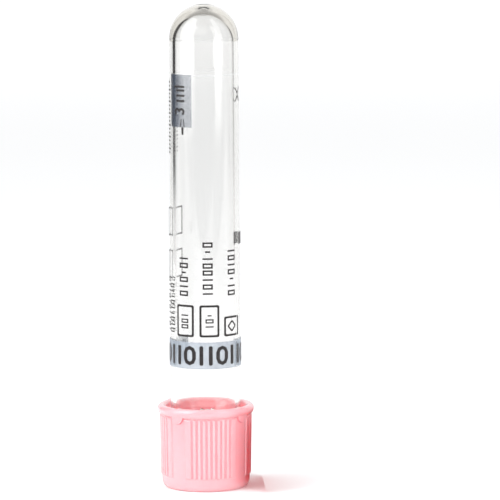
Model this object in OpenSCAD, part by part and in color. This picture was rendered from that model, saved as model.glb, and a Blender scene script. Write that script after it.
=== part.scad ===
// Evacuated blood collection tube, standing round end up in its ribbed closure.
// +Z runs up the tube's axis; the origin is the centre of the closure's closed face.
// Angles are measured about Z from -Y, positive towards +X.

/* [Tube] */
// Length of the tube from its mouth to the tip of its round end
tube_length = 75; // [68:0.5:100]
// Outside diameter of the tube at its mouth
tube_mouth_d = 12.3; // [11.5:0.05:16]
// Taper: how much narrower the tube is where its round end begins
tube_taper = 0.25; // [0.05:0.05:0.6]
// Thickness of the tube's wall
tube_wall = 0.9; // [0.7:0.05:1.2]
// Thickness of the round end at its tip
tip_wall = 1.6; // [1.2:0.05:2.2]
// Bevel on the edges of the tube's mouth
mouth_bevel = 0.2; // [0.05:0.05:0.3]
// Width of the parting ridge where the round end begins
ridge_w = 0.36; // [0.2:0.02:0.6]
// Height of the parting ridge
ridge_h = 0.04; // [0.02:0.01:0.1]

/* [Gate mark on the round end] */
// Diameter of the dimple at the tip
gate_d = 2.3; // [1.4:0.1:3]
// Depth of the dimple
gate_depth = 0.36; // [0.3:0.02:0.5]
// Diameter of the moulding stub in the dimple
stub_d = 0.7; // [0.3:0.05:1]
// Height of the moulding stub
stub_h = 0.2; // [0.05:0.05:0.3]

/* [Stopper] */
// How far the head's edge stands out past the tube's mouth
head_step = 0.25; // [0.2:0.01:0.5]
// Height of the head, from the closure ring to the tube's mouth
head_h = 7.68; // [6.5:0.02:9]
// Steepness of the head's bevelled upper edge, rise over run
head_slope = 1.2; // [0.8:0.1:1.5]
// Thickness of the collar that lines the ring's hole
collar_wall = 0.3; // [0.2:0.05:0.6]
// Length of the straight wall of the needle recess
port_wall = 1.8; // [1.5:0.1:2.4]
// Flare at the mouth of the needle recess
port_bevel = 0.15; // [0.05:0.01:0.18]
// Height of the plug above the head
plug_h = 3.1; // [2.5:0.1:4.2]
// Depth of the grooves between the plug's sealing beads
plug_groove = 0.25; // [0.1:0.05:0.4]
// Width of the rim round the dish in the end of the plug
dish_rim = 2.1; // [1:0.1:2.6]
// Depth of the dish in the end of the plug
dish_depth = 1.6; // [0.8:0.1:2]

/* [Closure ring] */
// Width of the ledge that the ring is pressed against
ring_ledge = 0.2; // [0.1:0.05:0.4]
// Diameter of the ring's hole
ring_hole_d = 7.6; // [6.4:0.1:8.2]
// Thickness of the ring
ring_t = 1.7; // [1.2:0.1:2.4]
// Depth of the ring's face inside the foot of the cap
ring_set_in = 0.3; // [0.1:0.05:0.6]
// Bevel on the edges of the ring and the stopper
small_bevel = 0.12; // [0.05:0.01:0.2]

/* [Cap shell] */
// Length of the tube that the cap covers
cap_grip = 4.88; // [4:0.02:8]
// Thickness of the wall round the stopper's head, at the foot
cap_wall = 1.25; // [1:0.05:2]
// Draft of the outside wall in degrees
cap_draft = 1; // [0.25:0.25:2]
// Width of the flat rim that the cap stands on
foot_flat = 0.2; // [0.1:0.02:0.4]
// Height of the rounded foot
foot_round_h = 1.5; // [0.8:0.05:2]
// How far the lip stands out past the wall
lip_step = 0.55; // [0.4:0.05:1]
// Height of the lip
lip_h = 1.65; // [1.55:0.05:3]
// Gap between the tube and the mouth of the lip
mouth_gap = 0.85; // [0.6:0.05:0.95]
// Depth of the flare inside the mouth
flare_h = 1.6; // [0.8:0.1:2]

/* [Cap ribs] */
// Height of the ribs above the wall
rib_h = 0.22; // [0.1:0.02:0.3]
// Number of rib groups round the cap
rib_groups = 4; // [2:1:4]
// Narrow ribs in each group
ribs_per_group = 8; // [4:1:8]
// Angle from one narrow rib to the next
rib_pitch = 6.2; // [5.5:0.1:6.4]
// Width of a narrow rib
rib_w = 0.56; // [0.3:0.02:0.6]
// Width of the wide rib at each end of a group
wide_rib_w = 1.15; // [0.8:0.05:1.3]
// Angle from the last narrow rib to the wide rib
wide_rib_step = 9.1; // [8.5:0.1:10]
// Angle of the middle of the first group
rib_turn = 7; // [-20:1:20]
// Height at which the ribs begin
rib_start = 2.25; // [2.1:0.05:4]

/* [Cap tabs] */
// Width of the half-round tab under the lip between two rib groups
tab_w = 2.4; // [1.4:0.1:2.6]
// Height of the tab below the lip
tab_h = 1.4; // [0.8:0.1:1.6]
// Thickness of the tab above the wall
tab_t = 0.13; // [0.05:0.01:0.2]

/* [Additive] */
// Width of a typical grain
grain = 0.42; // [0.3:0.02:0.5]
// Height of the heap above the end of the plug
heap_h = 0.55; // [0.2:0.05:0.7]
// Rings of grains on the heap
grain_rings = 5; // [3:1:6]

/* [Label] */
// Distance from the tube's mouth to the label's lower edge
label_start = 11.8; // [8:0.1:14]
// Distance from the label's upper edge to the round end
label_clear = 5.97; // [2:0.01:8]
// Thickness of the label film
label_t = 0.1; // [0.06:0.01:0.15]
// Angle at which the label's overlap begins
overlap_at = 60; // [50:1:62]
// Width of the overlap as an angle
overlap_arc = 7; // [5:0.5:8]
// Thickness of a printed layer
ink_t = 0.03; // [0.02:0.005:0.05]

/* [Printed fields] */
// Height of the band at the label's lower edge
band_h = 4.7; // [4.2:0.1:5]
// Angle at which the band begins
band_from = -146; // [-170:1:-100]
// Angle at which the band ends
band_to = 104; // [80:1:120]
// Height of the volume panel at the label's upper edge
panel_h = 9.1; // [8:0.1:11]
// Angle at which the volume panel begins
panel_from = -66; // [-75:1:-64]
// Angle at which the volume panel ends
panel_to = -20.6; // [-26:0.2:-18]

/* [Printed marks] */
// Height of the loops and bars on the band
mark_h = 3.4; // [2.4:0.1:3.6]
// Width of the lines of the loops and bars
mark_line = 0.66; // [0.3:0.02:0.7]
// Width of one loop or pair of bars
mark_w = 2.3; // [1.6:0.1:2.4]
// Angle from one mark on the band to the next
mark_pitch = 27; // [25:1:32]
// Width of the frames' lines
frame_line = 0.36; // [0.2:0.02:0.4]
// Corner radius of the frames
frame_round = 0.3; // [0.3:0.05:0.8]
// Distance from the label's lower edge to the frames
frame_start = 5.6; // [5.2:0.1:6]
// Height of the tall frames
frame_h = 5.6; // [5:0.1:6]
// Width of the frames
frame_w = 3.5; // [3:0.1:3.6]
// Width of a stroke in the rows of small marks
stroke = 0.28; // [0.16:0.02:0.3]
// Height of the small marks, across the row
row_h = 1.78; // [1.4:0.02:2]
// Distance from one small mark to the next
row_pitch = 1.22; // [1:0.02:1.3]
// Distance from the label's lower edge to the rows of small marks
row_start = 13.2; // [12:0.1:15]
// Height of the numeral on the volume panel
numeral_h = 2.3; // [1.6:0.1:2.6]
// Width of the lines of the numeral and the bars beside it
numeral_line = 0.4; // [0.24:0.02:0.46]

/* [Fits] */
// Gap round the plug inside the tube
plug_gap = 0.05; // [0.02:0.01:0.08]
// Gap round the stopper inside the cap and the ring
head_gap = 0.05; // [0.02:0.01:0.08]
// Gap round the ring inside the cap
ring_gap = 0.02; // [0.01:0.01:0.04]
// Gap between the tube and the bead inside the cap
bead_gap = 0.08; // [0.04:0.01:0.1]
// Gap between the tube and the cap's bore above the bead
bore_gap = 0.2; // [0.15:0.01:0.3]
// Gap between faces that turn or lift against each other
face_gap = 0.02; // [0.01:0.01:0.05]
// Thickness of the glue between the tube and the label
glue = 0.02; // [0.02:0.01:0.05]

/* [Hidden] */
$fn = 96;
SKIM = 0.01;            // cuts run this far past a face
OVER = 1;               // and this far past a whole piece

// Heights, from the closed face up
chamber_z = ring_set_in + ring_t;
head_z = chamber_z + face_gap;
head_top = head_z + head_h;
plug_z = head_top + plug_h;
tube_z = head_top + face_gap;
tip_z = tube_z + tube_length;
cap_h = tube_z + cap_grip;
lip_z = cap_h - lip_h;

// Points of an elliptical arc about c, from angle a to angle b
function arc(c, rx, rz, a, b, n) =
    [for (i = [0:n]) let (t = a + (b - a) * i / n) [c[0] + rx * cos(t), c[1] + rz * sin(t)]];

// Tube radii and the heights of its two round ends, outside and inside
mouth_r = tube_mouth_d / 2;
dome_r = (tube_mouth_d - tube_taper) / 2;
dome_z = tip_z - dome_r;
bore_mouth_r = mouth_r - tube_wall;
bore_dome_r = dome_r - tube_wall;
bore_dome_z = tip_z - tip_wall - bore_dome_r;

// Outside and inside radius of the tube at height z
function tube_r(z) = mouth_r + (dome_r - mouth_r) * (z - tube_z) / (dome_z - tube_z);
function bore_r(z) = bore_mouth_r
    + (bore_dome_r - bore_mouth_r) * (z - tube_z) / (bore_dome_z - tube_z);

// Stopper, from the outside in
head_r = mouth_r + head_step;
collar_r = ring_hole_d / 2 - head_gap;
collar_z = ring_set_in + small_bevel;
port_r = collar_r - collar_wall;
port_z = collar_z + port_bevel;
plug_r = bore_r(plug_z) - plug_gap;
dish_r = plug_r - dish_rim;
bead_pitch = plug_h / 3;
// Height of the head's bevelled edge at radius r
function edge_z(r) = head_top - (r - mouth_r) * head_slope;
plug_bead = [[-plug_groove, 0.35], [0, 0.6], [0, 0.85], [-plug_groove, 1.1]];
stopper_outside = concat(
    [[0, collar_z], [collar_r - small_bevel, collar_z], [collar_r, collar_z + small_bevel],
     [collar_r, head_z], [head_r - small_bevel, head_z], [head_r, head_z + small_bevel],
     [head_r, edge_z(head_r)], [mouth_r, head_top], [plug_r - plug_groove, head_top]],
    [for (i = [0:1], p = plug_bead) [plug_r + p[0], head_top + (i + p[1]) * bead_pitch]],
    [[plug_r - plug_groove, plug_z - bead_pitch * 0.6], [plug_r - 2 * plug_groove, plug_z],
     [0, plug_z]]);

// Ring and cap, from the inside out
chamber_r = head_r + head_gap;
ring_r = head_r + ring_ledge;
seat_r = ring_r + ring_gap;
foot_flat_r = seat_r + small_bevel / 2 + foot_flat;
foot_r = chamber_r + cap_wall;
// Radius of the cap's smooth wall at height z
function cap_r(z) = foot_r + (z - foot_round_h) * tan(cap_draft);
lip_r = cap_r(lip_z) + lip_step;
cap_mouth_r = mouth_r + mouth_gap;
lip_round = (lip_r - cap_mouth_r) / 2;
lip_mid_z = cap_h - lip_round;
cap_outside = concat(
    [[0, 0]],
    arc([foot_flat_r, foot_round_h], foot_r - foot_flat_r, foot_round_h, -90, 0, 9),
    arc([cap_r(lip_z), lip_mid_z], lip_step, lip_mid_z - lip_z, -90, 0, 7),
    arc([lip_r - lip_round, lip_mid_z], lip_round, lip_round, 0, 180, 14),
    [[0, lip_mid_z]]);
bead_r = mouth_r + bead_gap;
bead_h = 0.5;
bead_lift = 2 * head_gap;       // clearance over the head's bevelled edge
bead_z = edge_z(bead_r) + bead_lift;
cap_inside = [
    [0, -SKIM], [seat_r + small_bevel / 2 + SKIM, -SKIM], [seat_r, small_bevel / 2],
    [seat_r, chamber_z], [chamber_r, chamber_z], [chamber_r, edge_z(chamber_r) + bead_lift],
    [bead_r, bead_z], [bead_r, bead_z + bead_h], [mouth_r + bore_gap, bead_z + 1.5 * bead_h],
    [mouth_r + bore_gap, lip_mid_z - flare_h], [cap_mouth_r, lip_mid_z],
    [cap_mouth_r, cap_h + OVER], [0, cap_h + OVER]];

// Heap of grains in the dish
heap_r = dish_r - ring_gap;
heap_shoulder = [heap_r / 2, heap_h * 0.7];
function heap_top(r) = plug_z + (r < heap_shoulder[0]
    ? heap_h + (heap_shoulder[1] - heap_h) * r / heap_shoulder[0]
    : heap_shoulder[1] * (heap_r - r) / (heap_r - heap_shoulder[0]));

// Label and the layout of its print: angles, and heights above its lower edge
label_z = tube_z + label_start;
label_top = dome_z - label_clear;
STROKE = 0;
BOX = 1;
DASH = 2;
tall_frames = [[-34.8, [BOX, BOX, STROKE]], [6.9, [STROKE, BOX, DASH]]];
square_frame_at = 48;
rows = [[-36.6, [BOX, STROKE, BOX, DASH, BOX, STROKE]],
        [4.3, [STROKE, BOX, STROKE, BOX, BOX, STROKE, DASH, BOX]],
        [47.6, [BOX, STROKE, DASH, BOX, STROKE, BOX, STROKE]]];
edge_rows = [[-82, [STROKE, BOX, STROKE, STROKE, BOX, STROKE, BOX, STROKE, STROKE, BOX]],
             [-66, [BOX, STROKE, BOX, STROKE, STROKE, BOX, DASH, STROKE, BOX]]];
small = 0.8;                    // the edge rows and framed marks against the others
fine = 0.16;                    // width of the finest lines
dash_rows = [-76, -108];
dash = [1.2, 0.3];              // width and height of one dash
dash_start = 37.5;
dash_pitch = 0.68;
dash_count = floor((label_top - label_z - dash[1] - dash_start) / dash_pitch);
far_box = [-108, 4.8, 5];       // angle, width and height of the writing boxes
far_box_start = 17.7;
far_box_pitch = 7.5;
block = [80, 2.3, 2.1];         // angle, width and height of the solid block
block_start = 22.5;
rule_at = 55.5;
sign_at = 67;
sign_w = 3;                     // length of the crossed lines of the small sign
sign_lean = 36;
sign_drop = 3.6;
panel_mark_at = -44;
panel_bars = [0.5, 0.4, 0.3, 0.23];     // from the panel's top, against its height
pointer_at = -37.5;
pointer = [0.5, 0.34, 1.3];     // width at the panel, width at the foot and length
pointer_legs = [0.63, 0.32, 1.4];       // spacing at the foot, at the top and length
mark_margin = 12;
mark_count = floor((band_to - band_from - 2 * mark_margin) / mark_pitch) + 1;

// Revolves a profile of [radius, height] points
module turned(points) {
    rotate_extrude() polygon(points);
}

module tube() {
    bevel_z = tube_z + mouth_bevel;
    color([0.86, 0.9, 0.92, 0.35])
    difference() {
        union() {
            turned([[0, tube_z], [tube_r(bevel_z) - mouth_bevel, tube_z], [tube_r(bevel_z), bevel_z],
                    [dome_r, dome_z], [0, dome_z]]);
            translate([0, 0, dome_z]) sphere(dome_r);
            parting_ridge();
        }
        turned([[0, tube_z - SKIM], [bore_r(bevel_z) + mouth_bevel, tube_z - SKIM],
                [bore_r(bevel_z), bevel_z], [bore_dome_r, bore_dome_z], [0, bore_dome_z]]);
        translate([0, 0, bore_dome_z]) sphere(bore_dome_r);
        gate_dimple();
    }
}

module parting_ridge() {
    inside = dome_r - ridge_w;
    turned([[inside, dome_z - ridge_w], [tube_r(dome_z - ridge_w / 2), dome_z - ridge_w / 2],
            [dome_r + ridge_h, dome_z - ridge_w / 6], [dome_r + ridge_h, dome_z + ridge_w / 6],
            [dome_r - ridge_h, dome_z + ridge_w], [inside, dome_z + ridge_w]]);
}

// Shallow cut at the tip, round the stub that the moulding left
module gate_dimple() {
    rim_r = gate_d / 2;
    rim_z = dome_z + sqrt(dome_r * dome_r - rim_r * rim_r);
    floor_z = tip_z - gate_depth;
    turned([[stub_d / 2, floor_z], [rim_r / 2, floor_z], [rim_r, rim_z], [rim_r, tip_z + OVER],
            [0, tip_z + OVER], [0, floor_z + stub_h], [stub_d / 2, floor_z + stub_h / 2]]);
}

// Everything inside the label's outer face grown by extra, with the overlap standing proud
module label_body(extra, low, high) {
    r_low = tube_r(low) + glue + label_t + extra;
    r_high = tube_r(high) + glue + label_t + extra;
    core = dome_r / 2;
    turned([[0, low], [r_low, low], [r_high, high], [0, high]]);
    rotate([0, 0, overlap_at - 90])
    rotate_extrude(angle = overlap_arc)
    polygon([[core, low], [r_low + label_t, low], [r_high + label_t, high], [core, high]]);
}

module label() {
    below = label_z - OVER;
    above = label_top + OVER;
    color([0.93, 0.95, 0.97, 0.35])
    difference() {
        label_body(0, label_z, label_top);
        turned([[0, below], [tube_r(below) + glue, below], [tube_r(above) + glue, above],
                [0, above]]);
    }
}

// The n-th printed layer over the label, between two heights
module ink(n, low, high) {
    difference() {
        label_body(n * ink_t, low, high);
        label_body((n - 1) * ink_t, low - SKIM, high + SKIM);
    }
}

// Wedge about the axis between two angles, taller than the label
module wedge(from, to) {
    translate([0, 0, label_z - OVER])
    rotate([0, 0, from - 90])
    rotate_extrude(angle = to - from)
    square([mouth_r + OVER, label_top - label_z + 2 * OVER]);
}

module label_band() {
    color([0.72, 0.76, 0.82, 0.7])
    intersection() {
        ink(1, label_z, label_z + band_h);
        wedge(band_from, band_to);
    }
}

module volume_panel() {
    color([0.58, 0.63, 0.72, 0.7])
    intersection() {
        ink(1, label_top - panel_h, label_top);
        wedge(panel_from, panel_to);
    }
}

// Stands a flat outline on the tube's side, at an angle and a height
module facing(angle, z) {
    rotate([0, 0, angle])
    translate([0, -mouth_r / 2, z])
    rotate([90, 0, 0])
    linear_extrude(mouth_r)
    children();
}

// Rectangle with its corners rounded in two cuts
module plate(w, h, r) {
    corner = [[0, 0], [0.7 * r, 0.3 * r], [r, r]];
    polygon([
        for (q = [0:3], i = [0:2])
        let (c = corner[q % 2 == 0 ? i : 2 - i], right = q < 2 ? 1 : -1, up = q % 3 == 0 ? 1 : -1)
        [right * (w / 2 - r + c[0]), up * (h / 2 - c[1])]]);
}

module outline(w, h, r, line) {
    difference() {
        plate(w, h, r);
        plate(w - 2 * line, h - 2 * line, max(r - line, line / 2));
    }
}

// Plain rectangle drawn with a line
module box(w, h, line) {
    difference() {
        square([w, h], center = true);
        square([w - 2 * line, h - 2 * line], center = true);
    }
}

// One row of small marks, read up the tube
module mark_row(pattern, size) {
    w = size * row_h;
    pitch = size * row_pitch;
    line = size * stroke;
    for (i = [0:len(pattern) - 1])
    translate([0, i * pitch])
    if (pattern[i] == BOX) box(w, pitch * 0.76, line);
    else square([pattern[i] == STROKE ? w : w / 2, line], center = true);
}

// The numeral 3 as two open rings, read up the tube
module numeral_three(h, line) {
    r = (h + line) / 4;
    open_at = 150;
    rotate(90)
    for (side = [0, 1])
    mirror([0, side])
    translate([0, r - line / 2])
    polygon(concat(arc([0, 0], r, r, -90, open_at, 12),
                   arc([0, 0], r - line, r - line, open_at, -90, 12)));
}

// Marks printed straight on the film
module film_marks() {
    for (frame = tall_frames) {
        middle = label_z + frame_start + frame_h / 2;
        facing(frame[0], middle) outline(frame_w, frame_h, frame_round, frame_line);
        facing(frame[0], middle - small * row_pitch) mark_row(frame[1], small);
    }
    facing(square_frame_at, label_z + frame_start + frame_w / 2)
        outline(frame_w, frame_w, frame_round, frame_line);
    facing(square_frame_at, label_z + frame_start + frame_w / 2)
        rotate(45) outline(frame_w * 0.45, frame_w * 0.45, stroke, stroke);
    for (row = rows)
        facing(row[0], label_z + row_start) mark_row(row[1], 1);
    for (row = edge_rows)
        facing(row[0], label_z + frame_start + row_h / 2) mark_row(row[1], small);
    for (at = dash_rows, i = [0:dash_count - 1])
        facing(at, label_z + dash_start + i * dash_pitch)
        square([i % 3 == 1 ? dash[0] : dash[0] * 0.6, dash[1]], center = true);
    for (i = [0:1])
        facing(far_box[0], label_z + far_box_start + i * far_box_pitch)
        box(far_box[1], far_box[2], stroke);
    facing(block[0], label_z + block_start) square([block[1], block[2]], center = true);
    facing(rule_at, label_z + block_start) square([fine, block[2]], center = true);
    for (lean = [-sign_lean, sign_lean])
        facing(sign_at, label_top - sign_drop)
        rotate(lean) square([0.8 * stroke, sign_w], center = true);
    facing(pointer_at, label_top - panel_h - SKIM)
        polygon([[-pointer[0] / 2, 0], [pointer[0] / 2, 0], [pointer[1] / 2, -pointer[2]],
                 [-pointer[1] / 2, -pointer[2]]]);
}

// Loops and pairs of bars by turns, printed over the band
module band_marks() {
    for (i = [0:mark_count - 1])
    facing(band_from + mark_margin + i * mark_pitch, label_z + band_h / 2)
    if (i % 2 == 0) outline(mark_w, mark_h, mark_w / 2 - SKIM, mark_line);
    else for (side = [-1, 1])
        translate([side * (mark_w - mark_line) / 2, 0])
        plate(mark_line, mark_h, mark_line / 3);
}

// A plain 3, a set of bars and the two legs of a pointer, printed over the volume panel
module panel_marks() {
    facing(panel_mark_at, label_top - 0.71 * panel_h) numeral_three(numeral_h, numeral_line);
    for (i = [0:3])
        facing(panel_mark_at, label_top - panel_h * panel_bars[i])
        translate([i < 3 ? numeral_h * 0.1 : 0, 0])
        square([i < 3 ? numeral_h * 0.8 : numeral_h, 0.9 * numeral_line], center = true);
    for (side = [0, 1])
        facing(pointer_at, label_top - panel_h)
        mirror([side, 0])
        polygon([[pointer_legs[0] / 2, 0], [pointer_legs[0] / 2 + fine, 0],
                 [pointer_legs[1] / 2 + fine, pointer_legs[2]],
                 [pointer_legs[1] / 2, pointer_legs[2]]]);
}

module label_print() {
    color([0.13, 0.11, 0.11])
    union() {
        intersection() {
            ink(1, label_z + band_h + SKIM, label_top - SKIM);
            film_marks();
        }
        intersection() {
            ink(2, label_z, label_z + band_h);
            band_marks();
        }
        intersection() {
            ink(2, label_top - panel_h, label_top);
            panel_marks();
        }
    }
}

// Bar with a bevelled crest, up the cap's wall at an angle
module rib(angle, w) {
    rotate([0, 0, angle])
    translate([0, -cap_r(rib_start), rib_start])
    rotate([cap_draft, 0, 0])
    linear_extrude(lip_z - rib_start + rib_h)
    polygon([[-w / 2, rib_h], [-w / 2, -rib_h / 3], [-w / 2 + rib_h / 2, -rib_h],
             [w / 2 - rib_h / 2, -rib_h], [w / 2, -rib_h / 3], [w / 2, rib_h]]);
}

module ribs() {
    half = (ribs_per_group - 1) / 2 * rib_pitch;
    for (g = [0:rib_groups - 1]) {
        middle = rib_turn + g * 360 / rib_groups;
        for (i = [0:ribs_per_group - 1]) rib(middle - half + i * rib_pitch, rib_w);
        for (side = [-1, 1]) rib(middle + side * (half + wide_rib_step), wide_rib_w);
    }
}

// Half-round tab on the wall, its flat end buried in the lip, between two rib groups
module tab(angle) {
    rotate([0, 0, angle])
    translate([0, -cap_r(lip_z) + rib_h, lip_z + tab_t])
    rotate([90, 0, 0])
    linear_extrude(rib_h + tab_t)
    polygon(concat([[-tab_w / 2, lip_h / 4]], arc([0, 0], tab_w / 2, tab_h, -180, 0, 12),
                   [[tab_w / 2, lip_h / 4]]));
}

module cap() {
    color([0.98, 0.66, 0.69])
    difference() {
        union() {
            turned(cap_outside);
            ribs();
            for (g = [0:rib_groups - 1]) tab(rib_turn + (g + 0.5) * 360 / rib_groups);
        }
        turned(cap_inside);
    }
}

module cap_ring() {
    hole_r = ring_hole_d / 2;
    color([0.12, 0.1, 0.1])
    turned([[hole_r + small_bevel, ring_set_in], [ring_r - small_bevel, ring_set_in],
            [ring_r, ring_set_in + small_bevel], [ring_r, chamber_z], [hole_r, chamber_z],
            [hole_r, ring_set_in + small_bevel]]);
}

module stopper() {
    color([0.17, 0.2, 0.26])
    difference() {
        turned(stopper_outside);
        turned([[0, collar_z - SKIM], [port_r + port_bevel + SKIM, collar_z - SKIM],
                [port_r, port_z], [0, port_z]]);
        translate([0, 0, port_z]) cylinder(h = port_wall, r = port_r);
        translate([0, 0, port_z + port_wall]) sphere(port_r);
        turned(concat([[0, plug_z + SKIM], [dish_r, plug_z + SKIM]],
                      arc([0, plug_z], dish_r, dish_depth, 0, -90, 9)));
    }
}

module additive_granules() {
    color([0.95, 0.92, 0.9])
    union() {
        turned(concat([[0, plug_z + heap_h], [heap_shoulder[0], plug_z + heap_shoulder[1]]],
                      arc([0, plug_z], heap_r, dish_depth - ring_gap, 0, -90, 9)));
        for (k = [0:grain_rings - 1], i = [0:max(0, 6 * k - 1)]) one_grain(k, i);
    }
}

// Grain i of ring k, turned and sized by a rule that looks unordered
module one_grain(k, i) {
    r = k * heap_r * 0.9 / (grain_rings - 1);
    size = grain * (0.8 + 0.25 * sin(97 * i + 53 * k));
    rotate([0, 0, i * 60 / max(1, k) + 23 * k])
    translate([r, 0, heap_top(r) + size * 0.2])
    rotate([41 * i + 17 * k, 29 * i + 31 * k, 13 * i])
    cube(size, center = true);
}

tube();
label();
label_band();
volume_panel();
label_print();
cap();
cap_ring();
stopper();
additive_granules();
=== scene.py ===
# Blood collection tube standing round end up in its pink ribbed cap.
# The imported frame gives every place; lengths typed here are in millimetres.
import math
import random

import bpy
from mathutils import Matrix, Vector


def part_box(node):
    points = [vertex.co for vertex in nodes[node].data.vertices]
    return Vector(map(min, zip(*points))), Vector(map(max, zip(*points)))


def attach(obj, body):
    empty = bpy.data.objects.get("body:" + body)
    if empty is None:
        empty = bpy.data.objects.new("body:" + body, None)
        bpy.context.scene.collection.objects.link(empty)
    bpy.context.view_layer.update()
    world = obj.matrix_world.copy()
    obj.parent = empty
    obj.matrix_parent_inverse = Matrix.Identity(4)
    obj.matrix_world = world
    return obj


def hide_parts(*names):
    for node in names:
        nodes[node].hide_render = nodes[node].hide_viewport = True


mm = 0.001
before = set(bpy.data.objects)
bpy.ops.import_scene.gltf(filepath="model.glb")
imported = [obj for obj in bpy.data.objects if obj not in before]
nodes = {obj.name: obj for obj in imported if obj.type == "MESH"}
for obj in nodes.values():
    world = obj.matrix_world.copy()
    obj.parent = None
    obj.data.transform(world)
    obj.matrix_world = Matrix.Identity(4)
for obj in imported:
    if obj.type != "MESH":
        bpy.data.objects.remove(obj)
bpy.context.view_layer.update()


def boxMm(node):
    low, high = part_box(node)
    return low / mm, high / mm


tubeLow, tubeHigh = boxMm("tube")
labelLow, labelHigh = boxMm("label")
capHigh = boxMm("cap")[1]
ringLow, ringHigh = boxMm("cap_ring")
stopperLow, stopperHigh = boxMm("stopper")


def deselectAll():
    if bpy.context.object and bpy.context.object.mode == "EDIT":
        bpy.ops.object.mode_set(mode="OBJECT")
    bpy.ops.object.select_all(action="DESELECT")


def pick(pieces):
    # leaves only these selected, the first one active
    deselectAll()
    for piece in pieces:
        piece.select_set(True)
    bpy.context.view_layer.objects.active = pieces[0]


def arc(centre, radii, fromDeg, toDeg, steps):
    # points of an elliptical arc in a section, as (radius, height)
    points = []
    for i in range(steps + 1):
        a = math.radians(fromDeg + (toDeg - fromDeg) * i / steps)
        points.append((centre[0] + radii[0] * math.cos(a), centre[1] + radii[1] * math.sin(a)))
    return points


def turned(name, section, segments):
    # extrudes a circle ring by ring along a section of (radius, height) points
    tiny = 2e-4                                 # a radius of 0 is a ring this small, merged below
    rings = [(max(r, tiny) * mm, z * mm) for r, z in section]
    deselectAll()
    bpy.ops.mesh.primitive_circle_add(
        vertices=segments, radius=rings[0][0], location=(0, 0, rings[0][1]),
        fill_type="NOTHING", enter_editmode=True)
    for (r0, z0), (r1, z1) in zip(rings, rings[1:]):
        bpy.ops.mesh.extrude_region_move(TRANSFORM_OT_translate={"value": (0, 0, z1 - z0)})
        bpy.ops.transform.resize(value=(r1 / r0, r1 / r0, 1), center_override=(0, 0, z1))
    bpy.ops.mesh.select_all(action="SELECT")
    bpy.ops.mesh.remove_doubles(threshold=1e-6)
    bpy.ops.mesh.normals_make_consistent(inside=False)
    bpy.ops.object.mode_set(mode="OBJECT")
    piece = bpy.context.object
    piece.name = piece.data.name = name
    return piece


def placed(piece):
    # writes the object's place, turn and size into its mesh
    pick([piece])
    bpy.ops.object.transform_apply(location=True, rotation=True, scale=True)
    return piece


def editFaces(piece, chosen):
    # opens the piece in edit mode with only the faces selected that chosen(face) accepts
    placed(piece)
    for face in piece.data.polygons:
        face.select = chosen(face)
    for item in list(piece.data.edges) + list(piece.data.vertices):
        item.select = False
    bpy.ops.object.mode_set(mode="EDIT")
    bpy.ops.mesh.select_mode(type="FACE")


def leaveEdit():
    bpy.ops.mesh.select_mode(type="VERT")
    bpy.ops.object.mode_set(mode="OBJECT")


def applied(piece, kind, **settings):
    pick([piece])
    modifier = piece.modifiers.new(kind.title(), kind)
    for key, value in settings.items():
        setattr(modifier, key, value)
    bpy.ops.object.modifier_apply(modifier=modifier.name)
    return piece


def smoothed(piece, degrees):
    pick([piece])
    bpy.ops.object.shade_smooth_by_angle(angle=math.radians(degrees))
    return piece


def azimuth(point):
    # degrees about the axis from the camera's side, positive towards +X
    return math.degrees(math.atan2(point[0], -point[1]))


class Wire:
    # a number or colour on its way through a material; numbers take Python's operators
    def __init__(self, paint, socket):
        self.paint = paint
        self.socket = socket

    def math(self, operation, left, right):
        return self.paint.node("Math", {"operation": operation}, {0: left, 1: right})

    def __add__(self, other):
        return self.math("ADD", self, other)

    def __radd__(self, other):
        return self.math("ADD", other, self)

    def __sub__(self, other):
        return self.math("SUBTRACT", self, other)

    def __rsub__(self, other):
        return self.math("SUBTRACT", other, self)

    def __mul__(self, other):
        return self.math("MULTIPLY", self, other)

    def __rmul__(self, other):
        return self.math("MULTIPLY", other, self)


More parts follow.
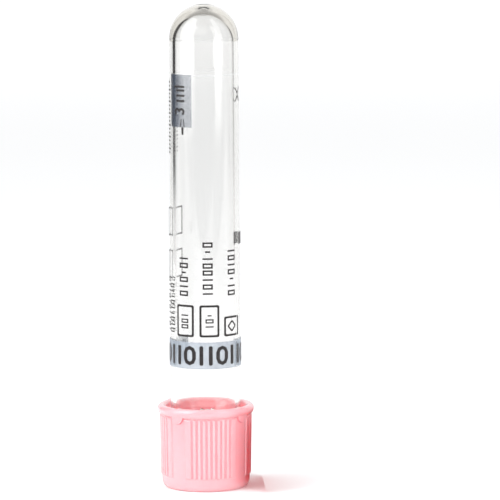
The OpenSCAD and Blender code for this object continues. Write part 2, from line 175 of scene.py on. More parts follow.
class Paint:
    # a node tree with one method that adds any node, and its own small brushes
    def __init__(self, tree):
        self.tree = tree

    def node(self, kind, settings=None, inputs=None, output=0):
        made = self.tree.nodes.new("ShaderNode" + kind)
        for key, value in (settings or {}).items():
            setattr(made, key, value)
        for key, value in (inputs or {}).items():
            self.put(made.inputs[key], value)
        return Wire(self, made.outputs[output])

    def put(self, socket, value):
        if isinstance(value, Wire):
            self.tree.links.new(value.socket, socket)
        else:
            socket.default_value = value

    def place(self, stretch=(1, 1, 1)):
        # the piece's own coordinates in millimetres, stretched
        here = self.node("TexCoord", output="Object")
        scale = tuple(s / mm for s in stretch)
        return self.node("VectorMath", {"operation": "MULTIPLY"}, {0: here, 1: scale})

    def axis(self, which):
        # one coordinate in millimetres: 0, 1 or 2
        return self.node("SeparateXYZ", inputs={0: self.place()}, output=which)

    def noise(self, size, detail=2.0, stretch=(1, 1, 1)):
        # soft noise from 0 to 1 whose blots are size millimetres wide
        return self.node("TexNoise", None, {
            "Vector": self.place(stretch), "Scale": 1 / size, "Detail": detail})

    def cells(self, size, output="Distance"):
        return self.node("TexVoronoi", None, {"Vector": self.place(), "Scale": 1 / size}, output)

    def fade(self, value, low, high, fromValue=0.0, toValue=1.0):
        # smooth step of a value between two limits
        return self.node("MapRange", {"interpolation_type": "SMOOTHSTEP"}, {
            "Value": value, "From Min": low, "From Max": high, "To Min": fromValue, "To Max": toValue})

    def blend(self, factor, first, second):
        return self.node("Mix", {"data_type": "RGBA"}, {0: factor, 6: first, 7: second}, output=2)

    def light(self, output):
        # what is known of the light ray, for the studio's own materials
        return self.node("LightPath", output=output)

    def bends(self):
        # 1 for light that was mirrored on its way
        return self.node("Math", {"operation": "MINIMUM"}, {0: self.light("Glossy Depth"), 1: 1.0})

    def bump(self, height, depth):
        # depth is the height in millimetres that a value of 1 stands for
        return self.node("Bump", None, {"Strength": 1.0, "Distance": depth * mm, "Height": height})

    def length(self, stretch=(1, 1, 1)):
        # distance in millimetres from the piece's origin, or from an axis where one share is 0
        return self.node("VectorMath", {"operation": "LENGTH"}, {0: self.place(stretch)}, output=1)


class Finish(Paint):
    # one material: a Principled shader with its constants, then what varies over the surface
    names = {"colour": "Base Color", "roughness": "Roughness", "alpha": "Alpha", "normal": "Normal",
             "glow": "Emission Color"}

    def __init__(self, name, constants):
        self.material = bpy.data.materials.new(name)
        self.material.use_nodes = True
        super().__init__(self.material.node_tree)
        self.shader = self.tree.nodes["Principled BSDF"]
        for socket, value in constants.items():
            self.shader.inputs[socket].default_value = value

    def feed(self, **sockets):
        for key, value in sockets.items():
            self.put(self.shader.inputs[self.names[key]], value)
        return self.material


def colour(red, green, blue):
    # screen colour from 0 to 255 as linear light
    def linear(c):
        c = c / 255
        return c / 12.92 if c <= 0.04045 else ((c + 0.055) / 1.055) ** 2.4
    return (linear(red), linear(green), linear(blue), 1)


def clearPlastic(tipHeight):
    paint = Finish("clearPlastic", {
        "Base Color": (0.99, 0.99, 0.99, 1), "Transmission Weight": 1.0, "IOR": 1.57})
    tint = paint.node("VolumeAbsorption", None, {"Color": (0.8, 0.7, 0.42, 1), "Density": 30.0})
    paint.put(paint.tree.nodes["Material Output"].inputs["Volume"], tint)
    waves = paint.noise(3.4, detail=1.0, stretch=(1, 1, 0.12))
    nearTip = paint.fade(paint.axis(2), tipHeight - 0.4, tipHeight - 0.2)   # the gate mark is dull
    grain = paint.noise(0.12, detail=3.0)
    return paint.feed(
        roughness=nearTip * 0.3,
        normal=paint.bump(waves + nearTip * grain * 0.5, 0.004))


def labelFilm(low, high):
    paint = Finish("labelFilm", {"Base Color": (0.74, 0.76, 0.78, 1), "Roughness": 0.28})
    height = paint.axis(2)
    edgeWidth = 0.16
    edges = paint.fade(height, low + edgeWidth, low) + paint.fade(height, high - edgeWidth, high)
    dust = paint.fade(paint.noise(0.6, detail=4.0), 0.62, 0.8)
    return paint.feed(
        alpha=0.02 + edges * 0.3 + dust * 0.02,
        normal=paint.bump(paint.noise(2.2, stretch=(1, 1, 0.3)), 0.01))


def fieldInk(name, light, dark, opacity, leftOpacity, edgeTone):
    # translucent printed tone: fine dots over a slightly uneven lay-down; towards its left edge
    # it is more opaque by this much and turns to the edge's own tone
    paint = Finish(name, {"Roughness": 0.42})
    dots = paint.fade(paint.cells(0.24), 0.2, 0.42)
    cloud = paint.noise(1.6, detail=3.0)
    tone = paint.blend(paint.fade(cloud, 0.25, 0.75), light, dark)
    edge = paint.fade(paint.axis(0), -3.2, -5.9)
    return paint.feed(
        colour=paint.blend(edge, paint.blend(dots * 0.35, tone, dark), edgeTone),
        alpha=opacity + dots * 0.05 + cloud * 0.05 + edge * leftOpacity,
        normal=paint.bump(paint.noise(0.3), 0.003))


def darkInk():
    paint = Finish("darkInk", {"Roughness": 0.36})
    lay = paint.noise(0.5, detail=4.0)
    body = paint.blend(paint.fade(lay, 0.3, 0.7), colour(26, 22, 23), colour(42, 36, 37))
    return paint.feed(colour=body, normal=paint.bump(lay, 0.006))


def pinkPlastic():
    paint = Finish("pinkPlastic", {
        "Subsurface Weight": 0.6, "Subsurface Radius": (2.0, 0.45, 0.45), "Subsurface Scale": 0.7 * mm,
        "Coat Weight": 1.0, "Coat Roughness": 0.08, "Coat IOR": 1.7, "Emission Strength": 1.0})
    flow = paint.noise(5.0, detail=2.0, stretch=(1, 1, 0.35))
    mottle = paint.noise(0.7, detail=4.0)
    tone = paint.blend(paint.fade(flow, 0.3, 0.7), colour(254, 182, 188), colour(253, 177, 184))
    # rise is the height above the wall, and aside the degrees from the middle of a rib group
    height = paint.axis(2)
    out = paint.length((1, 1, 0))
    rise = out - height * math.tan(math.radians(cap["draft"])) - capRadius(0)
    turn = paint.node("Math", {"operation": "ARCTAN2"}, {0: paint.axis(0), 1: 0.0 - paint.axis(1)})
    aside = paint.node("Math", {"operation": "PINGPONG"}, {
        0: turn * math.degrees(1) - cap["turn"], 1: 45.0})
    ribbed = paint.fade(aside, cap["ribbedTo"] + 0.3, cap["ribbedTo"] - 0.3) * paint.fade(
        height, cap["ribTo"], cap["ribTo"] - 0.2)
    # painted shade for the grooves between the ribs
    groove = ribbed * paint.fade(rise, 0.16, 0.02) * paint.fade(
        height, cap["ribFrom"], cap["ribFrom"] + 0.2)
    # the bore is painted a deeper pink and given a faint glow, standing in for light through the pink
    # wall
    inside = paint.fade(out, cap["mouthRadius"] + 0.25, cap["mouthRadius"] - 0.05)
    # beside is 1 on a tab's edge and grows outwards
    tabWidth, tabHeight, tabRise = cap["tab"]
    across = (45.0 - aside) * (math.radians(capRadius(cap["lipUnder"])) * 2 / tabWidth)
    down = (cap["lipUnder"] + tabRise - height) * (1 / tabHeight)
    beside = across * across + down * down
    # painted shade on the wall round each tab's edge
    tabShade = paint.fade(beside, 0.9, 1.02) * paint.fade(beside, 1.45, 1.1) * paint.fade(
        height, cap["lipUnder"] + 0.1, cap["lipUnder"])
    # painted light: crests get a paler tone as a painted highlight, the grooves and the wall round a tab
    # a deeper one as painted shade, and the bore a deeper pink that stands in for light coming through
    # the pink wall
    tone = paint.blend(paint.fade(rise, 0.1, 0.19) * ribbed, tone, colour(255, 192, 197))
    tone = paint.blend(groove, tone, colour(251, 162, 171))
    tone = paint.blend(tabShade * 0.8, tone, colour(246, 146, 157))
    tone = paint.blend(inside, tone, colour(255, 148, 156))
    grain = paint.noise(0.16, detail=3.0)
    scuffs = paint.noise(0.5, detail=2.0, stretch=(1, 1, 0.08))
    return paint.feed(
        colour=paint.blend(paint.fade(mottle, 0.55, 0.85) * 0.3, tone, colour(253, 192, 198)),
        roughness=0.28 + mottle * 0.1,
        # painted glow in the bore, as if light came through the pink wall
        glow=paint.blend(inside, (0, 0, 0, 1), (0.14, 0.02, 0.025, 1)),
        normal=paint.bump(grain * 0.6 + scuffs * 0.6, 0.004))


def blackPlastic():
    paint = Finish("blackPlastic", {})
    grain = paint.noise(0.1, detail=4.0)
    specks = paint.fade(paint.noise(0.45, detail=1.0), 0.72, 0.78)
    tone = paint.blend(paint.fade(grain, 0.3, 0.7), colour(28, 24, 24), colour(38, 34, 34))
    return paint.feed(
        colour=paint.blend(specks * 0.5, tone, colour(92, 90, 92)),
        roughness=0.5 + grain * 0.14,
        normal=paint.bump(grain, 0.012))


def stopperRubber():
    paint = Finish("stopperRubber", {"Sheen Weight": 0.15, "Sheen Roughness": 0.5})
    bloom = paint.noise(1.3, detail=4.0)
    grain = paint.noise(0.14, detail=3.0)
    return paint.feed(
        colour=paint.blend(paint.fade(bloom, 0.4, 0.75), colour(40, 46, 56), colour(70, 80, 94)),
        roughness=0.44 + bloom * 0.16,
        normal=paint.bump(grain, 0.01))


def additiveGrains():
    paint = Finish("additiveGrains", {"Subsurface Weight": 0.25, "Subsurface Scale": 0.25 * mm})
    each = paint.cells(0.45, output="Color")
    share = paint.node("SeparateColor", inputs={0: each})
    # a share of the grains is dark red
    darkRed = paint.fade(share, 0.7, 0.76)
    return paint.feed(
        colour=paint.blend(darkRed, colour(250, 246, 242), colour(150, 62, 66)),
        roughness=0.3 + share * 0.2,
        normal=paint.bump(paint.noise(0.09), 0.012))


tube = {
    "length": 75.0,             # mouth to tip of the round end
    "taper": 0.125,             # how much the radius shrinks from mouth to round end
    "wall": 0.9,                # at the mouth
    "domeWall": 1.04,           # the bore's draft leaves more plastic near the round end
    "tipWall": 1.6,
    "edgeRound": 0.2,           # rounding at the mouth
    "ridge": (0.36, 0.04),      # width and height of the parting ridge
    "gate": (1.2, 0.24),        # radius and depth of the dimple at the tip
    "stub": (0.4, 0.12),        # radius and height of the stub in it
    "segments": 256,
}
mouthRadius = tubeHigh.x
domeRadius = mouthRadius - tube["taper"]
tipHeight = tubeLow.z + tube["length"]
domeHeight = tipHeight - domeRadius


def tubeRadius(z):
    return mouthRadius - tube["taper"] * (z - tubeLow.z) / (domeHeight - tubeLow.z)


def makeTube():
    ridgeWidth, ridgeRise = tube["ridge"]
    gateRadius, gateDepth = tube["gate"]
    stubRadius, stubRise = tube["stub"]
    rimAngle = math.degrees(math.acos(gateRadius / domeRadius))
    boreTop = domeRadius - tube["domeWall"]
    boreDome = tipHeight - tube["tipWall"] - boreTop
    mouth = tubeLow.z
    rounding = tube["edgeRound"]
    floor = tipHeight - gateDepth
    section = [(0, floor + stubRise), (stubRadius * 0.7, floor + stubRise * 0.9),
               (stubRadius, floor + stubRise * 0.5), (stubRadius * 1.15, floor)]
    rim = domeHeight + domeRadius * math.sin(math.radians(rimAngle))
    for i in range(1, 8):
        r = stubRadius * 1.15 + (gateRadius - stubRadius * 1.15) * i / 8
        section.append((r, floor + (rim - floor) * (1 - math.cos(math.pi * i / 8)) / 2))
    aboveRidge = 2.6                            # degrees
    section += arc((0, domeHeight), (domeRadius, domeRadius), rimAngle, aboveRidge, 46)
    section += [(domeRadius, domeHeight + ridgeWidth / 2),
                (domeRadius + ridgeRise, domeHeight + ridgeWidth / 5),
                (domeRadius + ridgeRise, domeHeight - ridgeWidth / 5),
                (domeRadius, domeHeight - ridgeWidth / 2)]
    nearRidge = domeHeight - ridgeWidth / 2 - 0.06  # rings this near keep a turn's shading to itself
    section += [(tubeRadius(nearRidge), nearRidge), (tubeRadius(nearRidge - 0.3), nearRidge - 0.3)]
    for i in range(1, 12):
        z = domeHeight + (mouth + rounding - domeHeight) * i / 12
        section.append((tubeRadius(z), z))
    section += arc((mouthRadius - rounding, mouth + rounding), (rounding, rounding), 0, -90, 5)
    boreMouth = mouthRadius - tube["wall"]
    section += arc((boreMouth + rounding, mouth + rounding), (rounding, rounding), -90, -180, 5)
    for i in range(1, 12):
        share = i / 12
        section.append((boreMouth + (boreTop - boreMouth) * share,
                        mouth + rounding + (boreDome - mouth) * share))
    section += [(boreTop, boreDome - 0.5), (boreTop, boreDome - 0.2)]
    section += arc((0, boreDome), (boreTop, boreTop), 0, 90, 44)
    piece = turned("tubeShell", section, tube["segments"])
    piece.data.materials.append(clearPlastic(tipHeight))
    smoothed(placed(piece), 32)
    piece.visible_shadow = False                # its faint shadow is left to the room's light
    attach(piece, "tube")
    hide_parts("tube")


film = {
    "glue": 0.03,               # how far the film's inner face stands off the tube
    "thickness": 0.12,          # outer face off the tube
    "overlap": (60, 67.5),      # degrees, from the camera's side towards +X
    "overlapRise": 0.1,
    "segments": 288,
}


def makeLabelFilm():
    low, high = labelLow.z, labelHigh.z
    rings = 10
    section = []
    for i in range(rings + 1):
        z = low + (high - low) * i / rings
        section.append((tubeRadius(z) + film["thickness"], z))
    for i in range(rings + 1):
        z = high + (low - high) * i / rings
        section.append((tubeRadius(z) + film["glue"], z))
    section.append(section[0])
    piece = turned("labelFilm", section, film["segments"])
    middle = (film["glue"] + film["thickness"]) / 2

    def onOverlap(face):
        x, y, z = face.center / mm
        inside = film["overlap"][0] < azimuth(face.center) < film["overlap"][1]
        outer = math.hypot(x, y) > tubeRadius(z) + middle
        return inside and outer and low < z < high and abs(face.normal.z) < 0.5
    editFaces(piece, onOverlap)
    bpy.ops.mesh.extrude_region_shrink_fatten(
        TRANSFORM_OT_shrink_fatten={"value": film["overlapRise"] * mm})
    leaveEdit()
    piece.data.materials.append(labelFilm(low, high))
    smoothed(piece, 30)
    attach(piece, "tube")
    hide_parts("label")


def dressPrint():
    # the printed areas and marks keep the frame's own solids and only get their inks
    looks = {
        "label_band": fieldInk("bandInk", colour(184, 194, 204), colour(164, 174, 186), 0.4,
                               0.0, colour(164, 174, 186)),
        "volume_panel": fieldInk("panelInk", colour(70, 88, 110), colour(58, 72, 92), 0.2,
                                 0.45, colour(46, 52, 64)),
        "label_print": darkInk(),
    }
    for name, material in looks.items():
        nodes[name].data.materials.clear()
        nodes[name].data.materials.append(material)


cap = {
    "segments": 348,            # steps of the mesh round the cap
    "quarter": 87,              # of them from one rib group to the next
    "ribPitch": 6,              # steps from one narrow rib to the next
    "narrowTo": 24,             # steps from a group's middle to the last narrow rib's edge
    "wideRib": (25, 34),        # and to the edges of the wide rib
    "ribbedTo": 26.5,           # degrees from a group's middle to the end of its deeper grooves
    "turn": 7,                  # degrees from the camera's side to the middle of a rib group
    "footFlat": 6.88,           # outer radius of the flat rim
    "footRound": 1.5,
    "footRadius": 7.7,          # wall radius above the rounded foot
    "draft": 1.0,               # degrees
    "lipUnder": 12.95,          # height of the lip's underside
    "lipStep": 0.55,
    "mouthRadius": 7.0,
    "flare": 1.6,
    "bore": 6.35,
    "bead": (6.23, 9.69),       # radius and height of the bead inside
    "chamber": 6.45,
    "seat": 6.62,               # radius of the ring's seat
    "seatDepth": 2.0,
    "ribFrom": 2.25,
    "ribTo": 12.8,
    # insets and rises that round a rib off
    "ribProfile": ((0.03, 0.08), (0.05, 0.06), (0.06, 0.04), (0.07, 0.02)),
    "edgeRound": 0.055,
    "tab": (2.3, 1.35, 0.34),   # width, height below the lip and thickness
    "tabRound": 0.06,           # of the tabs' edges
}


def capRadius(z):
    return cap["footRadius"] + (z - cap["footRound"]) * math.tan(math.radians(cap["draft"]))


def onRib(face):
    # true for the wall faces that rise into ribs: eight narrow ones and a wide one at each end
    x, y, z = face.center / mm
    if not cap["ribFrom"] < z < cap["ribTo"] or math.hypot(x, y) < cap["seat"] + 0.5:
        return False
    step = 360 / cap["segments"]
    half = cap["quarter"] / 2
    place = abs((azimuth(face.center) / step + half) % cap["quarter"] - half)
    narrow = place < cap["narrowTo"] and 1 < place % cap["ribPitch"] < cap["ribPitch"] - 1
    return narrow or cap["wideRib"][0] < place < cap["wideRib"][1]


def makeCapWall():
    lipRadius = capRadius(cap["lipUnder"]) + cap["lipStep"]
    lipRound = (lipRadius - cap["mouthRadius"]) / 2
    lipMiddle = capHigh.z - lipRound
    beadRadius, beadHeight = cap["bead"]
    section = arc((cap["footFlat"] - 0.02, cap["footRound"]),
                  (cap["footRadius"] - cap["footFlat"] + 0.02, cap["footRound"]), -90, 0, 9)
    for z in (1.95, cap["ribFrom"], 2.7, 7.5, 12.45, cap["ribTo"]):     # rings up the wall
        section.append((capRadius(z), z))
    section += arc((capRadius(cap["lipUnder"]), lipMiddle),
                   (cap["lipStep"], lipMiddle - cap["lipUnder"]), -90, 0, 9)[:-1]
    section += arc((lipRadius - lipRound, lipMiddle), (lipRound, lipRound), 0, 180, 18)
    section += [(cap["mouthRadius"] - 0.12, lipMiddle - 0.25),
                (cap["bore"] + 0.05, lipMiddle - cap["flare"]),
                (cap["bore"], lipMiddle - cap["flare"] - 0.2), (cap["bore"], beadHeight + 0.75),
                (beadRadius, beadHeight + 0.5), (beadRadius, beadHeight),
                (cap["chamber"], beadHeight - 0.26), (cap["chamber"], cap["seatDepth"]),
                (cap["seat"], cap["seatDepth"]), (cap["seat"], 0.06), (cap["seat"] + 0.06, 0)]
    section.append(section[0])
    return turned("capShell", section, cap["segments"])


def makeCapTabs():
    # four half-round tabs between the rib groups, one closed bar each, let into the wall
    width, height, rise = cap["tab"]
    letIn = 0.2
    reach = (capRadius(cap["lipUnder"]) - letIn) * mm
    tabs = []
    for quarter in range(4):
        angle = math.radians(90 * (quarter + 0.5))
        spot = (math.sin(angle) * reach, -math.cos(angle) * reach, (cap["lipUnder"] + rise) * mm)
        deselectAll()
        bpy.ops.mesh.primitive_cylinder_add(
            vertices=56, radius=width / 2 * mm, depth=2 * (rise + letIn) * mm, location=spot,
            rotation=(math.pi / 2, 0, angle))
        tab = bpy.context.object
        tab.scale = (1, 2 * height / width, 1)
        placed(tab)
        tabs.append(tab)
    pick(tabs)
    bpy.ops.object.join()
    return applied(tabs[0], "BEVEL", width=cap["tabRound"] * mm, segments=2, limit_method="ANGLE",
                   angle_limit=math.radians(60))


def makeCap():
    piece = makeCapWall()
    editFaces(piece, onRib)
    for inset, rise in cap["ribProfile"]:
        bpy.ops.mesh.inset(thickness=inset * mm, depth=rise * mm, use_even_offset=True)
    leaveEdit()
    applied(piece, "BEVEL", width=cap["edgeRound"] * mm, segments=2, limit_method="ANGLE",
            angle_limit=math.radians(26), use_clamp_overlap=False, miter_outer="MITER_SHARP")
    tabs = makeCapTabs()
    applied(piece, "BOOLEAN", operation="UNION", solver="EXACT", object=tabs)
    bpy.data.objects.remove(tabs)
    piece.rotation_euler.z = math.radians(cap["turn"])
    piece.data.materials.clear()
    piece.data.materials.append(pinkPlastic())
    smoothed(placed(piece), 38)
    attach(piece, "cap")
    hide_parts("cap")


ring = {
    "hole": 3.8,                # radius
    "edgeRound": 0.12,          # on the face that shows
    "bevel": 0.05,              # on the hidden face
}


def makeRing():
    hole, edge, bevel = ring["hole"], ring["edgeRound"], ring["bevel"]
    outer, low, high = ringHigh.x, ringLow.z, ringHigh.z
    section = arc((hole + edge, low + edge), (edge, edge), 180, 270, 4)
    section += arc((outer - edge, low + edge), (edge, edge), -90, 0, 4)
    section += [(outer, high - bevel), (outer - bevel, high), (hole + bevel, high), (hole, high - bevel)]
    section.append(section[0])
    piece = turned("needleRing", section, 180)
    piece.data.materials.append(blackPlastic())
    smoothed(placed(piece), 38)
    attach(piece, "cap")
    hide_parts("cap_ring")


plug = {
    "collar": 3.75,             # radius where the stopper lines the ring's hole
    "port": 3.45,               # radius of the needle recess
    "portWall": 1.8,            # its straight length, below the round end
    "head": 6.4,                # radius between the ring and the tube's mouth
    "headFrom": 2.02,
    "headTo": 9.7,
    "headEdge": (6.15, 1.2),    # radius where the bevelled edge ends, and its steepness
    "plugRadius": 5.19,         # in the tube's bore
    "groove": 0.25,             # depth between the sealing beads
    "dish": (3.09, 1.6),        # radius and depth
}


def makeStopper():
    bottom = stopperLow.z
    top = stopperHigh.z
    portFrom = bottom + 0.15
    portTop = portFrom + plug["portWall"]
    edgeRadius, slope = plug["headEdge"]
    headEdge = plug["headTo"] - (plug["head"] - edgeRadius) * slope
    pitch = (top - plug["headTo"]) / 3
    dishRadius, dishDepth = plug["dish"]
    section = arc((0, portTop), (plug["port"], plug["port"]), 90, 0, 18)
    section += [(plug["port"], portFrom + 0.05), (plug["port"] + 0.06, bottom + 0.05),
                (plug["port"] + 0.13, bottom),
                (plug["collar"] - 0.12, bottom), (plug["collar"] - 0.03, bottom + 0.04),
                (plug["collar"], bottom + 0.12), (plug["collar"], plug["headFrom"]),
                (plug["head"] - 0.12, plug["headFrom"]), (plug["head"], plug["headFrom"] + 0.12),
                (plug["head"], headEdge), (edgeRadius, plug["headTo"]),
                (plug["plugRadius"] - plug["groove"], plug["headTo"])]
    for i in range(2):
        centre = plug["headTo"] + (i + 0.72) * pitch
        section += arc((plug["plugRadius"] - plug["groove"], centre),
                       (plug["groove"], pitch * 0.36), -90, 90, 8)
    section += arc((plug["plugRadius"] - 2 * plug["groove"] - 0.2, top - 0.3), (0.45, 0.3), 0, 90, 5)
    section += arc((0, top), (dishRadius, dishDepth), 0, -90, 14)
    piece = turned("rubberStopper", section, 180)
    piece.data.materials.append(stopperRubber())
    smoothed(placed(piece), 35)
    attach(piece, "stopper")
    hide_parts("stopper")


grains = {
    "radius": 3.05,             # of the dish that holds them
    "rise": 0.5,                # the heap's middle above the plug
    "core": 0.12,               # how far the heap's smooth core lies under its grains
    "depth": 1.44,              # of that core in the dish
    "sizes": (0.22, 0.46),
    "count": 190,
    "loose": 46,                # lying on the plug outside the dish
    "looseReach": 4.4,
    "seed": 11,
}


def heapTop(r):
    share = min(1.0, r / grains["radius"])
    return stopperHigh.z + grains["rise"] * (1 - share ** 3) - grains["core"]


def makeGrains():
    rng = random.Random(grains["seed"])
    section = [(r / 10 * grains["radius"], heapTop(r / 10 * grains["radius"])) for r in range(0, 10)]
    section += arc((0, stopperHigh.z - grains["core"]), (grains["radius"], grains["depth"]), 0, -90, 10)
    parts = [turned("additiveHeap", section, 72)]
    deselectAll()
    bpy.ops.mesh.primitive_cube_add(size=mm)
    crystal = bpy.context.object
    applied(crystal, "BEVEL", width=0.14 * mm, segments=1)
    for i in range(grains["count"] + grains["loose"]):
        grain = crystal.copy()
        grain.data = crystal.data.copy()
        bpy.context.scene.collection.objects.link(grain)
        size = rng.uniform(*grains["sizes"])
        angle = rng.uniform(0, 2 * math.pi)
        if i < grains["count"]:
            r = grains["radius"] * 0.93 * math.sqrt(rng.random())
            z = heapTop(r) + rng.uniform(0.0, 0.6) * size
        else:
            r = rng.uniform(grains["radius"] + 0.15, grains["looseReach"])
            z = stopperHigh.z + size * 0.3
        grain.location = Vector((r * math.cos(angle), r * math.sin(angle), z)) * mm
        grain.rotation_euler = [rng.uniform(0, math.pi) for _ in range(3)]
        grain.scale = [size * rng.uniform(0.7, 1.15) for _ in range(3)]
        parts.append(grain)
    bpy.data.objects.remove(crystal)
    pick(parts)
    bpy.ops.object.join()
    piece = placed(parts[0])
    piece.data.materials.clear()
    piece.data.materials.append(additiveGrains())
    smoothed(piece, 30)
    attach(piece, "stopper")
    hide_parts("additive_granules")


camera = {
    "distance": 641,            # from the tube's axis
    "height": 118.0,
    "lens": 265.8,
    "pitch": 6.794,             # degrees down
    "yaw": 0.733,               # degrees to the right, so the tube stands left of the middle
    "roll": 0.232,              # degrees
}


def makeCamera():
    data = bpy.data.cameras.new("camera")
    data.lens = camera["lens"]
    data.sensor_width = 36
    data.clip_start = 0.01
    data.clip_end = 20
    holder = bpy.data.objects.new("camera", data)
    holder.location = (0, -camera["distance"] * mm, camera["height"] * mm)
    holder.rotation_euler = (math.radians(90 - camera["pitch"]), math.radians(camera["roll"]),
                             math.radians(-camera["yaw"]))
    bpy.context.scene.collection.objects.link(holder)
    bpy.context.scene.camera = holder


# the room is laid out in metres; heights with a grey are in millimetres
studio = {
    "floor": 9.0,
    "floorTone": 0.86,
    "floorGlow": (0.36, 0.21, 0.17),            # its own light far off, nearer, round the object
    # what mirrored light loses on the camera's side: past the table's edge, and on the left
    "floorShade": (0.86, 0.6),
    "tableEdge": (0.3, -350),   # slope of that edge and its place in millimetres
    "softLight": 0.85,          # brightness of the room for matt surfaces
    "shineLight": 0.2,          # as mirrored by shiny ones, on the camera's side
    "throughLight": 0.96,       # and as seen through clear ones
    "bendLight": 0.86,          # and round the bends in the plastic
    "highLight": 0.4,           # and there high up
    # lamps: azimuth from the camera's side, distance, height of the middle, width, height, brightness
    "lamps": {
        "keyLeft": (-62.5, 0.26, 0.355, 0.22, 0.60, 3.2),
        "keyRight": (50.5, 0.26, 0.355, 0.10, 0.60, 2.4),
        "fillRight": (30, 0.36, 0.16, 0.30, 0.20, 1.6),
    },
    "unmirrored": ("fillRight",),
    # cards, seen only round the bends in the plastic: azimuth, distance, width, bottom, top and the
    # grey at three heights
    "edgeCards": {
        "cardLeft": (-130, 0.34, 0.23, 0.0, 0.60, ((8, 0.8), (30, 0.03), (50, 0.0))),
        "cardRight": (125, 0.34, 0.13, 0.0, 0.10, ((8, 0.8), (40, 0.5), (100, 0.4))),
        "cardRightHigh": (126, 0.34, 0.10, 0.10, 0.60, ((100, 0.12), (200, 0.12), (300, 0.12))),
        "shadeLeft": (-104, 0.36, 0.22, 0.0, 0.60, ((10, 0.85), (100, 0.5), (300, 0.5))),
        "shadeRight": (104, 0.36, 0.22, 0.0, 0.60, ((10, 0.6), (100, 0.5), (300, 0.5))),
        "glowLeft": (-62.5, 0.26, 0.24, 0.030, 0.055, ((36, 0.4), (46, 1.4), (55, 2.8))),
        "glowRight": (50.5, 0.26, 0.14, 0.030, 0.055, ((36, 0.2), (46, 1.2), (55, 2.0))),
    },
    # a card close to the cap, hidden from the camera, with a red glow in place of the greys: it shades
    # the cap's right side, lights it red and is mirrored there
    "flag": (92, 0.0103, 0.021, 0.0, 0.0155, (0.5, 0.0, 0.005, 1)),
}


def onCircle(angle, distance, height):
    turn = math.radians(angle)
    return Vector((math.sin(turn) * distance, -math.cos(turn) * distance, height))


def makeLamps():
    for name, (angle, distance, height, width, tall, brightness) in studio["lamps"].items():
        data = bpy.data.lights.new(name, "AREA")
        data.shape = "RECTANGLE"
        data.size, data.size_y = width, tall
        data.energy = brightness * math.pi * width * tall
        lamp = bpy.data.objects.new(name, data)
        lamp.location = onCircle(angle, distance, height)
        towards = Vector((0, 0, height)) - lamp.location
        lamp.rotation_euler = towards.to_track_quat("-Z", "Y").to_euler()
        lamp.visible_camera = False
        lamp.visible_glossy = lamp.visible_transmission = name not in studio["unmirrored"]
        bpy.context.scene.collection.objects.link(lamp)


def makeFloor():
    deselectAll()
    bpy.ops.mesh.primitive_plane_add(size=studio["floor"], location=(0, 0, -0.02 * mm))
    floor = bpy.context.object
    floor.name = "floor"
    tone = studio["floorTone"]
    far, middle, near = studio["floorGlow"]
    paint = Finish("paleFloor", {"Roughness": 0.9, "Specular IOR Level": 0.1, "Emission Strength": 1.0})
    out = paint.length()
    glow = paint.fade(out, 1400, 600, far, middle) + paint.fade(out, 450, 260, 0, near - middle)
    matt = paint.light("Is Diffuse Ray")
    (beyond, leftwards), (slope, edge) = studio["floorShade"], studio["tableEdge"]
    x, y = paint.axis(0), paint.axis(1)
    soft, edgeSoft, leftSlope = 60, 22, 0.72
    left = paint.fade(x - y * leftSlope, soft, -soft)
    past = paint.fade(y - x * slope, edge + edgeSoft, edge - edgeSoft)
    shade = paint.bends() * paint.fade(y, soft, -soft) * (
        (1.0 - left) * past * beyond + left * leftwards)
    floor.data.materials.append(paint.feed(
        colour=paint.blend(shade, (tone, tone, tone, 1), (0, 0, 0, 1)),
        glow=glow * (1.0 - matt * 0.7) * (1.0 - shade)))


def makeCard(name, angle, distance, width, low, high, material):
    deselectAll()
    bpy.ops.mesh.primitive_plane_add(
        size=1, location=onCircle(angle, distance, (low + high) / 2),
        rotation=(math.pi / 2, 0, math.radians(angle)))
    card = bpy.context.object
    card.name = name
    card.scale = (width, high - low, 1)
    card.visible_camera = False
    card.visible_shadow = False
    card.data.materials.append(material)
    placed(card)
    return card


def cardPaint(name, angle, width):
    # a card's material and how solid it is across, soft towards its sides
    paint = Finish(name, {"Base Color": (0, 0, 0, 1), "Roughness": 1.0, "Specular IOR Level": 0.0,
                          "Emission Strength": 1.0})
    turn, half = math.radians(angle), width / mm / 2
    along = paint.node("VectorMath", {"operation": "DOT_PRODUCT"}, {
        0: paint.place(), 1: (math.cos(turn), math.sin(turn), 0)}, output=1)
    aside = paint.node("Math", {"operation": "ABSOLUTE"}, {0: along})
    return paint, paint.fade(aside, half, half * 0.6)


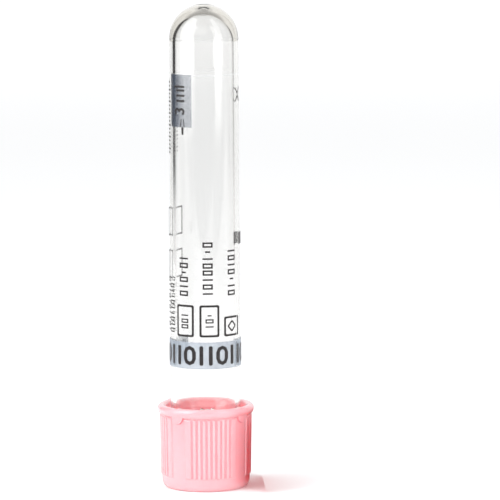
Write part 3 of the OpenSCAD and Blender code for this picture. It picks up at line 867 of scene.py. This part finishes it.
def makeCards():
    for name, (*place, greys) in studio["edgeCards"].items():
        paint, solid = cardPaint(name, place[0], place[2])
        (low, lowGrey), (middle, middleGrey), (high, highGrey) = greys
        height = paint.axis(2)
        card = makeCard(name, *place, paint.feed(
            alpha=paint.bends() * solid,
            glow=(paint.fade(height, low, middle, lowGrey, middleGrey)
                  + paint.fade(height, middle, high, 0, highGrey - middleGrey))))
        card.visible_diffuse = False
    *place, tint = studio["flag"]
    paint, solid = cardPaint("flag", place[0], place[2])
    top = place[4] / mm
    flag = makeCard("flag", *place, paint.feed(
        alpha=solid * paint.fade(paint.axis(2), top, top - 4), glow=tint))
    flag.visible_transmission = False
    flag.visible_shadow = True


def makeWorld():
    world = bpy.data.worlds.new("studio")
    world.use_nodes = True
    paint = Paint(world.node_tree)
    background = world.node_tree.nodes["Background"]
    matt = paint.light("Is Diffuse Ray")
    shiny = paint.light("Is Glossy Ray") * (1.0 - paint.light("Is Transmission Ray"))
    # front is 1 on the camera's side, bent round the bends in the plastic, and high there high up
    towards = paint.node("TexCoord", output="Generated")
    up = paint.node("SeparateXYZ", inputs={0: towards}, output=2)
    front = paint.fade(paint.node("SeparateXYZ", inputs={0: towards}, output=1), 0.5, -0.1)
    bent = paint.bends() * (1.0 - shiny) * (1.0 - matt)
    high = paint.fade(up, 0.5, 0.72) * bent
    through = studio["throughLight"]
    strength = (through - matt * (through - studio["softLight"])
                - shiny * front * (through - studio["shineLight"])
                - bent * (through - studio["bendLight"])
                - high * (studio["bendLight"] - studio["highLight"])
                - bent * (1.0 - high) * front * (studio["bendLight"] - studio["shineLight"]))
    paint.put(background.inputs["Strength"], strength)
    paint.put(background.inputs["Color"], paint.blend(bent, (0.98, 0.99, 1.0, 1), (1.0, 0.98, 0.94, 1)))
    bpy.context.scene.world = world
    view = bpy.context.scene.view_settings
    view.view_transform = "Standard"
    view.look = "None"


makeCamera()
makeWorld()
makeFloor()
makeCards()
makeLamps()
print("studio ready")
makeTube()
makeLabelFilm()
dressPrint()
print("tube and label ready")
makeCap()
makeRing()
makeStopper()
print("cap and stopper ready")
makeGrains()
print("grains ready")
